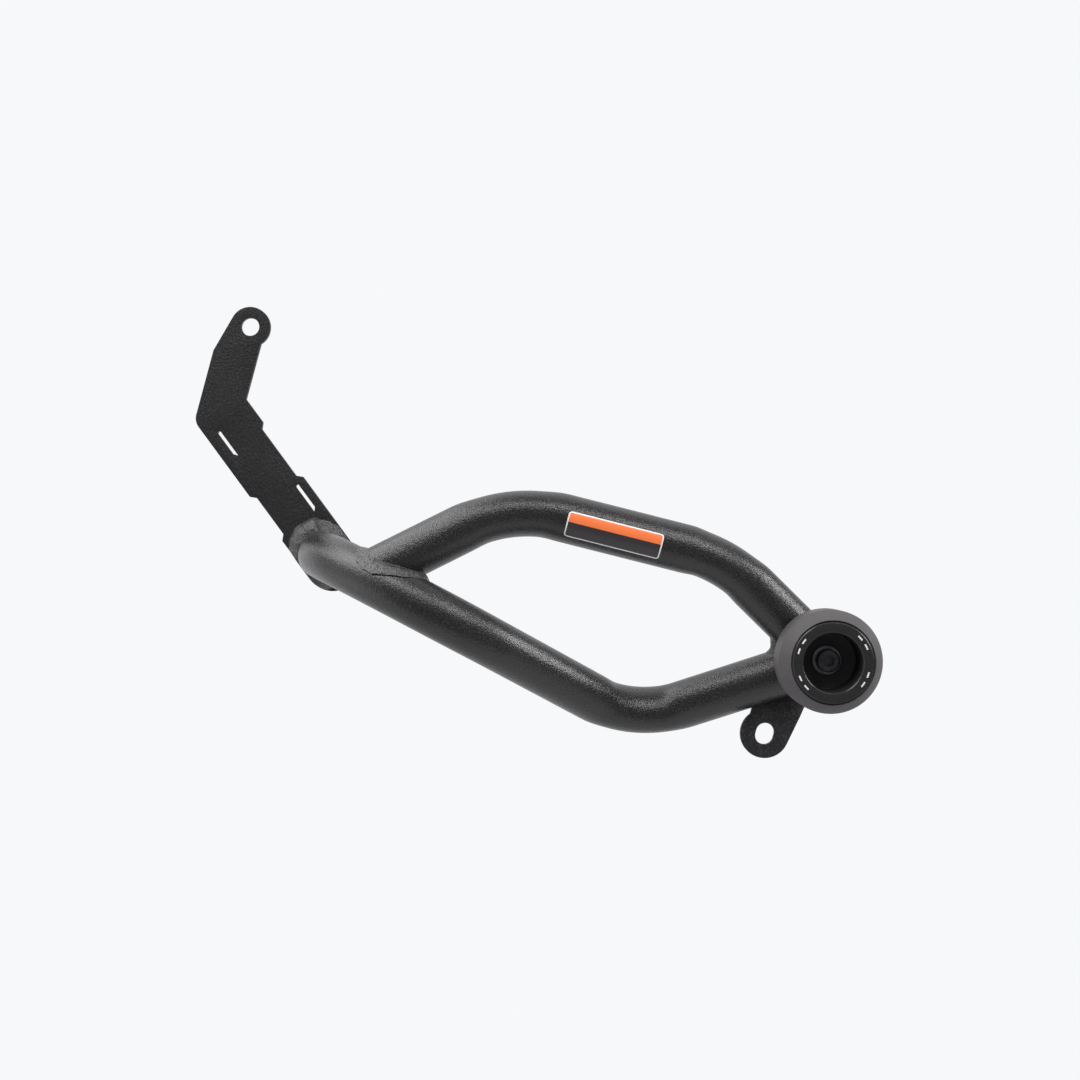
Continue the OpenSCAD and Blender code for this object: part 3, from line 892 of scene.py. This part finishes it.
def saddle(foot, direction, depth, outward, over_body, up_tube, crowns=even(0.09), steps=None,
           grooves=even(0)):
    """Sections of a bead where a tube along a direction meets another body.

    The tables give its legs over the body and up the tube, its crown as a share of its width, the
    height of its edge and the depth of the groove between it and the tube.
    """
    size = settings().weld
    steps = steps or even(size.step / MM)
    tube_r = settings().tube.diameter / 2
    x = outboard_of(direction)
    y = direction.cross(x)
    count = BEAD_SECTIONS
    groove_at, groove_width = 0.8, 0.09
    # How far the bead's hidden sides lie under the metal
    shallow, deep = 1.2 * MM, 1.5 * MM
    roots, sides = [], []
    for k in range(count):
        turn = FULL_TURN * k / count
        side = x * math.cos(turn) + y * math.sin(turn)
        roots.append(first_meeting(foot + side * tube_r, direction, depth, ahead=60 * MM, behind=25 * MM,
                                   step=0.25 * MM))
        sides.append(side)
    roots = [(roots[k - 1] + roots[k] * 2 + roots[(k + 1) % count]) / 4 for k in range(count)]
    sections = []
    for k in range(count):
        angle = 360 * k / count
        root, off_tube = roots[k], sides[k]
        run = (roots[(k + 1) % count] - roots[k - 1]).normalized()
        off_body = outward(root)
        over = run.cross(off_body).normalized()
        if over.dot(off_tube) < 0:
            over = -over
        leg = interpolate(over_body, angle) * MM
        rise = interpolate(up_tube, angle) * MM
        foot_end = root + over * leg
        step = interpolate(steps, angle) * MM
        foot_end += outward(foot_end) * (depth(foot_end) + step * 0.4)
        top_end = root + direction * rise + off_tube * 0.02 * MM
        crown = (off_tube + off_body).normalized()
        sag = interpolate(crowns, angle) * (foot_end - top_end).length
        groove = interpolate(grooves, angle) * MM
        points = []
        for i in range(BEAD_POINTS):
            t = i / (BEAD_POINTS - 1)
            rise_here = sag * 4 * t * (1 - t) - groove * math.exp(-((t - groove_at) / groove_width) ** 2)
            place = foot_end.lerp(top_end, t) + crown * rise_here
            inside = depth(place)
            if inside > -step and t < 0.7:
                place += outward(place) * (inside + step)
            bump = bumps(place, size.lump_size, 2.5) * 0.6 * min(1.0, 6 * t * (1 - t))
            place += crown * bump * size.lumps
            points.append(place)
        points.append(root + direction * rise * 0.8 - off_tube * shallow)
        points.append(root - off_tube * deep - off_body * deep)
        points.append(root + over * leg * 0.8 - off_body * shallow)
        sections.append(points)
    return sections


class PlateWeld(bpy.types.Operator):
    """Lays the bead that holds the main tube on the plate"""
    bl_idname = "crash_bar.plate_weld"
    bl_label = "Plate Weld"
    # Reach of the bead over the plate, in degrees from +X towards +Z and mm from the tube's middle
    REACH = [(0, 20.5), (40, 20.5), (71, 20.8), (84, 21.8), (94, 22.4), (101, 24.2), (122, 23.8), (134, 24.2),
             (150, 22.8), (175, 20.8), (216, 19.8), (270, 20.5), (315, 20.5)]
    # How far it climbs the tube in mm, and its bulge as a share of its width
    RISE = [(0, 6), (70, 5.5), (94, 5.5), (102, 7.5), (130, 7.5), (160, 7.5), (200, 7), (300, 7)]
    BULGE = [(0, 0.03), (70, -0.05), (94, -0.06), (102, 0.09), (150, 0.07), (200, 0.06), (300, 0.06)]

    def execute(self, context):
        size = settings().weld
        tube_r = settings().tube.diameter / 2
        # How far the bead's hidden side lies under the tube's surface
        deep = 1.5 * MM
        sections = []
        for k in range(BEAD_SECTIONS):
            angle = 360 * k / BEAD_SECTIONS
            turn = math.radians(angle)
            out = Vector((math.cos(turn), 0, math.sin(turn)))
            reach = interpolate(self.REACH, angle) * MM
            rise = interpolate(self.RISE, angle) * MM
            swell = interpolate(self.BULGE, angle) * (reach - tube_r + rise)
            points = []
            for i in range(BEAD_POINTS):
                t = i / (BEAD_POINTS - 1)
                bulge = swell * 4 * t * (1 - t)
                r = reach + (tube_r - SEAM - reach) * t + bulge
                place = SEAT + out * r + OUTBOARD * (rise * t + bulge + size.step * 0.6 * (1 - t))
                bump = bumps(place, size.lump_size, 2.2) * min(1.0, 5 * t * (1 - t) + 0.25)
                points.append(self.on_plate(place + (out + OUTBOARD) * bump * size.lumps))
            points.insert(0, self.on_plate(SEAT + out * reach - OUTBOARD * 0.2 * MM))
            for height in (rise * 0.8, -SEAM):
                points.append(SEAT + out * (tube_r - deep) + OUTBOARD * height)
            sections.append(points)
        bead("plate_weld_coated", "plate_weld", sections)
        return {"FINISHED"}

    def on_plate(self, place):
        """A place drawn back inside the plate's edge."""
        along, side = FOOT.place(place.x / MM, place.z / MM)
        limit = FOOT.half - 0.35
        over = along - FOOT_LENGTH
        if over > 0:
            far = math.hypot(over, side)
            if far > limit:
                over, side = over * limit / far, side * limit / far
                along = FOOT_LENGTH + over
        else:
            side = max(-limit, min(limit, side))
        x, z = FOOT.at(along, side)
        return Vector((x * MM, place.y, z * MM))


class BranchWeld(bpy.types.Operator):
    """Lays the bead round the branch's coped start"""
    bl_idname = "crash_bar.branch_weld"
    bl_label = "Branch Weld"
    # Legs over the main tube and up the branch, crown, edge height and groove, by degrees round the branch
    ALONG_MAIN = [(0, 12), (20, 13), (40, 13), (60, 11), (80, 8), (105, 5), (135, 3.5), (180, 3.5),
                  (225, 3.5), (250, 4.8), (270, 4.6), (290, 2.8), (315, 1.6), (325, 6.5), (340, 10.8)]
    UP_BRANCH = [(0, 0.5), (20, 0.8), (40, 2), (60, 6.5), (80, 5), (105, 3), (135, 2), (225, 2), (270, 1.8),
                 (290, 4.5), (315, 7.3), (325, 4.2), (340, 0.8)]
    CROWN = [(0, 0.1), (50, 0.13), (80, 0.07), (120, 0.09), (200, 0.02), (270, 0), (310, 0.02), (335, 0.08)]
    STEP = [(0, 0.3), (40, 0.16), (120, 0.3), (220, 0.1), (285, 0.2), (300, 0.5), (335, 0.5)]
    GROOVE = [(0, 0.5), (20, 0.9), (45, 0.6), (60, 0), (330, 0), (345, 0.1)]

    def execute(self, context):
        elbow = elbow_bend()
        tube_r = settings().tube.diameter / 2
        sections = saddle(BRANCH_FOOT, CREST_DIR, lambda p: tube_r - elbow.distance(p), elbow.outward,
                          self.ALONG_MAIN, self.UP_BRANCH, self.CROWN, self.STEP, self.GROOVE)
        bead("branch_weld_coated", "branch_weld", sections)
        return {"FINISHED"}


class HubWelds(bpy.types.Operator):
    """Lays the beads round the boss and the fillet where both tubes part"""
    bl_idname = "crash_bar.hub_welds"
    bl_label = "Hub Welds"
    BOSS_LEG = [(0, 3.5), (90, 4), (180, 3.5), (270, 4)]
    TUBE_LEG = [(0, 3), (90, 4), (180, 3), (270, 4)]

    def execute(self, context):
        bm = bmesh.new()
        for away in (-TAIL_DIR, -FALL_DIR):
            close_bead(bm, saddle(HUB, away, lambda p: boss_depth(p) + SEAM, off_boss, self.BOSS_LEG,
                                  self.TUBE_LEG))
        self.fillet(bm)
        weld_piece(bm, "hub_weld_coated", "hub_weld")
        return {"FINISHED"}

    def fillet(self, bm):
        """The web that rounds the crotch: its feet lie along each tube from the ellipse where they cross."""
        tube_r = settings().tube.diameter / 2
        middle = -(TAIL_DIR + FALL_DIR).normalized()
        across = TAIL_DIR.cross(FALL_DIR).normalized()
        reach = tube_r / math.sin(TAIL_DIR.angle(FALL_DIR) / 2)
        loops = []
        rows, columns, half_turn = 60, 10, 78
        side_leg, crotch_leg, tautness = 4 * MM, 10 * MM, 0.45
        for k in range(rows + 1):
            turn = math.radians(half_turn * (2 * k / rows - 1))
            root = HUB + middle * reach * math.cos(turn) + across * tube_r * math.sin(turn)
            leg = side_leg + (crotch_leg - side_leg) * math.cos(turn) ** 2
            ends = [root - TAIL_DIR * leg, root - FALL_DIR * leg]
            pull = ends[0].lerp(ends[1], 0.5).lerp(root, tautness)
            points = []
            for i in range(columns + 1):
                t = i / columns
                place = ends[0].lerp(pull, t).lerp(pull.lerp(ends[1], t), t)
                points.append(place + middle * 0.5 * MM * lump(place, 3 * MM) * math.sin(math.pi * t))
            points.append(root - middle * 2 * MM)
            loops.append(profile_edges(bm, points)[1])
        bridge(bm, loops)
        for loop in (loops[0], loops[-1]):
            bmesh.ops.contextual_create(bm, geom=loop)


class TabWeld(bpy.types.Operator):
    """Coats the bead on the tab's back, which keeps its CAD shape"""
    bl_idname = "crash_bar.tab_weld"
    bl_label = "Tab Weld"

    def execute(self, context):
        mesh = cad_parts["tab_weld"].data
        mesh.materials.clear()
        mesh.materials.append(coats()["weld"])
        return {"FINISHED"}


# Label


class FrontLabel(bpy.types.Operator):
    """Wraps the plain label round the branch's middle stretch"""
    bl_idname = "crash_bar.front_label"
    bl_label = "Label"

    def execute(self, context):
        size = settings().label
        tube_r = settings().tube.diameter / 2
        length, width = size.length / MM, size.width / MM
        r = size.corner / MM
        corners = [((length - r, width - r), 0), ((r, width - r), 90), ((r, r), 180), ((length - r, r), 270)]
        outline = []
        for middle, start in corners:
            outline += arc(middle, r, start, start + 90, 8)
        bm = bmesh.new()
        thickness, strips, gap = 0.3 * MM, 30, 0.03 * MM
        sheet_from(bm, [outline], 0, thickness)
        for k in range(1, strips):
            cut_through(bm, (0, 0, size.width * k / strips), (0, 0, 1))
        chart = bm.loops.layers.uv.new("label")
        for face in bm.faces:
            for loop in face.loops:
                loop[chart].uv = (loop.vert.co.x / size.length, loop.vert.co.z / size.width)
        along = (SHOULDER - CREST).normalized()
        middle = (CREST + SHOULDER) / 2 - along * size.shift
        front = outboard_of(along)
        below = along.cross(front)
        wrap = size.width / tube_r
        lean = math.radians(12)
        for vert in bm.verts:
            u, height, v = vert.co
            turn = lean + wrap / 2 - v / tube_r
            arm = front * math.cos(turn) + below * math.sin(turn)
            vert.co = middle + along * (u - size.length / 2) + arm * (tube_r + gap + height)
        finish_piece(bm, "front_label_printed", "front_label", "label")
        return {"FINISHED"}


# Finishes

# Colour, grain and depth in mm, roughness, gloss and speckle of each powder coat
POWDER_COATS = {
    "plate": ("plate", 0.7, 0.38, 0.54, 0.33, 1.0),
    "tube": ("tube", 0.62, 0.16, 0.29, 0.5, 0.9),
    "boss": ("tube", 0.62, 0.16, 0.38, 0.5, 0.7),
    "tab": ("tab", 0.95, 0.25, 0.5, 0.4, 0.9),
    "weld": ("weld", 0.8, 0.4, 0.34, 0.5, 0.8),
}
made_coats = {}


def coats():
    """Every finish, made once."""
    if not made_coats:
        tone = settings().colours
        for name, (hue, grain, depth, *look) in POWDER_COATS.items():
            made_coats[name] = powder_coat(name + " coat", getattr(tone, hue), grain * MM, depth * MM, *look)
        # The washer's tone is many times the screw's: painted light, standing in for the fill light that does
        # not reach into the recess
        for name, light, roughness in (("washer", 22.0, 0.5), ("screw", 4.0, 0.24)):
            made_coats[name] = blackened(name, tone, light, roughness)
        made_coats.update(nylon=turned_nylon(tone), ring=printed_ring(tone), label=printed_label(tone))
    return made_coats


def off_axis(finish):
    """Distance from the puck's axis and the angle round it, from object coordinates."""
    x, _, z = finish.parts(finish.place())
    across, up = x - PUCK_X, z - PUCK_Z
    return (across * across + up * up).root(), up.angle(across)


def turned_nylon(tone):
    """Dark nylon with fine turning lines, a slow unevenness, and painted shade on the recess's wall."""
    finish = Finish("turned nylon", {"Specular IOR Level": 0.2})
    distance, _ = off_axis(finish)
    _, y, _ = finish.parts(finish.place())
    pitch = 0.45 * MM
    lines = ((distance + y * 0.6) * (FULL_TURN / pitch)).sine()
    grain = finish.noise(0.5 * MM)
    cloud = finish.noise(14 * MM)
    finish.relief((lines, 0.006 * MM), (grain, 0.03 * MM))
    base = finish.mix(cloud.ramp(0.3, 0.7), shade(tone.nylon, 0.93), shade(tone.nylon, 1.07))
    base = finish.mix(grain.ramp(0.5, 0.75) * 0.25, base, shade(tone.nylon, 1.4))
    # The recess's wall is smooth, and painted darker: painted shade standing in for the shade that falls
    # inside the recess
    inside = distance < settings().puck.recess / 2 + 0.1 * MM
    wall = inside * (y < PUCK_BACK - RECESS_FLOOR - 0.3 * MM)
    base = finish.mix(wall, base, shade(tone.nylon, 0.25))
    return finish.painted(base, 0.62 + (grain - 0.5) * 0.15)


def printed_ring(tone):
    """Black ring with four pairs of plain dashes."""
    finish = Finish("printed ring", {"Specular IOR Level": 0.5})
    distance, angle = off_axis(finish)
    grain = finish.noise(0.4 * MM)
    middle, half_width, half_length, blur = 20.1 * MM, 0.42 * MM, 1.6 * MM, 0.05 * MM
    band = half_width - abs(distance - middle)
    marks = None
    for degrees in (26, 43, 144, 161, -155, -138, -36, -19):
        turn = (angle - math.radians(degrees)) * middle
        dash = band.smaller(half_length - abs(turn)).ramp(-blur, blur)
        marks = dash if marks is None else marks.larger(dash)
    finish.relief((grain, 0.02 * MM))
    base = finish.mix(grain.ramp(0.4, 0.7), tone.ring, shade(tone.ring, 1.8))
    base = finish.mix(marks, base, tone.marks)
    return finish.painted(base, 0.32 + (grain - 0.5) * 0.2)


def blackened(name, tone, light, roughness):
    """Blackened steel with faint handling marks."""
    finish = Finish(name + " steel", {"Metallic": 0.55, "Specular IOR Level": 0.5})
    grain = finish.noise(0.6 * MM, 3.0)
    smear = finish.noise(5 * MM)
    finish.relief((grain, 0.015 * MM))
    base = finish.mix(smear.ramp(0.35, 0.7), shade(tone.screw, light), shade(tone.screw, light * 1.7))
    return finish.painted(base, roughness + (grain - 0.5) * 0.2)


def printed_label(tone):
    """White border, a coloured band along the top and a dark field below."""
    finish = Finish("printed label", {"Specular IOR Level": 0.5})
    size = settings().label
    u, v, _ = finish.parts(finish.place("UV"))
    across, up = u * size.length, v * size.width
    radius, border = size.corner, 0.75 * MM
    reach_u = abs(across - size.length / 2) - (size.length / 2 - radius)
    reach_v = abs(up - size.width / 2) - (size.width / 2 - radius)
    far_u, far_v = reach_u.larger(0.0), reach_v.larger(0.0)
    edge = (far_u * far_u + far_v * far_v).root() + reach_u.larger(reach_v).smaller(0.0)
    inner, split, blur = radius - border, size.width * 0.6, 0.06 * MM
    rim = edge.ramp(inner - blur, inner + blur)
    band = up.ramp(split - blur, split + blur)
    grain = finish.noise(0.5 * MM)
    finish.relief((grain, 0.01 * MM))
    base = finish.mix(band, tone.field, tone.band)
    base = finish.mix(rim, base, tone.marks)
    return finish.painted(base, 0.38 + (grain - 0.5) * 0.1)


# Stage


class Stage(bpy.types.Operator):
    """Sets up the camera, the pale backdrop and the soft lights"""
    bl_idname = "crash_bar.stage"
    bl_label = "Stage"
    # The photo's focal length and width in its pixels, and where it was taken from
    FOCAL, FRAME = 1905, 1080
    LOOK_FROM = mm(175.3, -1157, -129)
    # The part's middle, which every lamp faces
    LAMPS_AT = mm(120, -80, -140)
    # Name, place, width, height and power of each lamp, in metres and watts
    LAMPS = [("upper left", (-0.42, -0.52, 0.97), 0.4, 0.4, 2.5),
             ("high left", (-0.6, -0.1, 0.7), 0.9, 0.9, 12),
             ("left", (-1.0, -0.25, -0.25), 1.0, 1.0, 2.7),
             ("back left", (-0.87, 0.54, 0.5), 1.3, 1.5, 1.5),
             ("right", (1.4, -0.22, 0.36), 0.5, 0.5, 12),
             ("front left", (-0.1, -0.9, 0.85), 0.35, 0.35, 4.5),
             ("overhead", (0.72, -0.92, 0.84), 0.5, 0.35, 8),
             ("ceiling", (0.17, 0.5, 1.4), 2.4, 1.2, 7.4),
             ("floor", (0.3, -0.4, -1.1), 1.8, 0.9, 3)]

    def execute(self, context):
        self.camera(context.scene)
        self.backdrop()
        self.lights(context.scene)
        context.scene.view_settings.view_transform = "Standard"
        return {"FINISHED"}

    def camera(self, scene):
        lens = bpy.data.cameras.new("camera")
        lens.sensor_fit = "HORIZONTAL"
        lens.sensor_width = 36
        lens.lens = lens.sensor_width * self.FOCAL / self.FRAME
        lens.clip_start, lens.clip_end = 0.05, 20
        camera = add_object("camera", lens)
        camera.location = self.LOOK_FROM
        camera.rotation_euler = (math.radians(90), 0, 0)
        scene.camera = camera

    def backdrop(self):
        """A floor that curves up into a wall, spun from a line."""
        floor_z, wall_y, curve = -0.62, 2.2, 0.8
        front, wide, wall_top = -0.7, 3.0, 3.5
        bm = bmesh.new()
        ends = [Vector((-wide, front, floor_z)), Vector((wide, front, floor_z))]
        line = pull_out(bm, profile_edges(bm, ends, False)[1], (0, wall_y - curve - front, 0))
        made = bmesh.ops.spin(bm, geom=line + ring_edges(bm, line), axis=(1, 0, 0), angle=math.pi / 2,
                              cent=(0, wall_y - curve, floor_z + curve), steps=24)["geom_last"]
        pull_out(bm, ring_edges(bm, verts_in(made)), (0, 0, wall_top))
        for face in bm.faces:
            face.smooth = True
        mesh = bpy.data.meshes.new("backdrop")
        bm.to_mesh(mesh)
        bm.free()
        tone = settings().colours.backdrop
        paper = Finish("backdrop paper", {"Base Color": (0.0, 0.0, 0.0), "Roughness": 1.0,
                                          "Specular IOR Level": 0.0, "Emission Color": tone,
                                          "Emission Strength": 1.0})
        mesh.materials.append(paper.material)
        add_object("backdrop", mesh)

    def lamp(self, name, place, width, height, power):
        """A soft lamp that faces the part's middle."""
        light = bpy.data.lights.new(name, "AREA")
        light.shape = "RECTANGLE"
        light.size, light.size_y, light.energy = width, height, power
        lamp = add_object(name, light)
        lamp.location = place
        lamp.rotation_euler = (self.LAMPS_AT - Vector(place)).to_track_quat("-Z", "Y").to_euler()

    def lights(self, scene):
        for values in self.LAMPS:
            self.lamp(*values)
        world = bpy.data.worlds.new("studio")
        world.use_nodes = True
        sky = world.node_tree.nodes["Background"]
        sky.inputs["Color"].default_value = (0.96, 0.97, 1.0, 1)
        sky.inputs["Strength"].default_value = 0.27
        scene.world = world


PIECES = [MainTube, BranchTube, HubBoss, UpperPlate, LowerTab, PlateWeld, BranchWeld, HubWelds, TabWeld,
          SliderPuck, PuckRing, PuckFasteners, FrontLabel]
GROUPS = [TubeSettings, PlateSettings, TabSettings, WeldSettings, PuckSettings, LabelSettings, ColourSettings]


class CrashBarPanel(bpy.types.Panel):
    """Lists the crash bar's pieces and sizes"""
    bl_idname = "VIEW3D_PT_crash_bar"
    bl_label = "Crash Bar"
    bl_space_type = "VIEW_3D"
    bl_region_type = "UI"
    bl_category = "Crash Bar"

    def draw(self, context):
        layout = self.layout
        for piece in PIECES + [Stage]:
            layout.operator(piece.bl_idname)
        for group in ("tube", "plate", "tab", "weld", "puck", "label", "colours"):
            box = layout.box()
            box.label(text=group.capitalize())
            values = getattr(context.scene.crash_bar, group)
            for name in values.bl_rna.properties.keys():
                if name not in ("rna_type", "name"):
                    box.prop(values, name)


CLASSES = GROUPS + [CrashBarSettings] + PIECES + [Stage, CrashBarPanel]


def register():
    for cls in CLASSES:
        bpy.utils.register_class(cls)
    bpy.types.Scene.crash_bar = group_of(CrashBarSettings, "Crash Bar", "All settings of the crash bar")


def unregister():
    del bpy.types.Scene.crash_bar
    for cls in reversed(CLASSES):
        bpy.utils.unregister_class(cls)


def main():
    register()
    for piece in [Stage] + PIECES:
        group, name = piece.bl_idname.split(".")
        getattr(getattr(bpy.ops, group), name)()


if __name__ == "__main__":
    main()
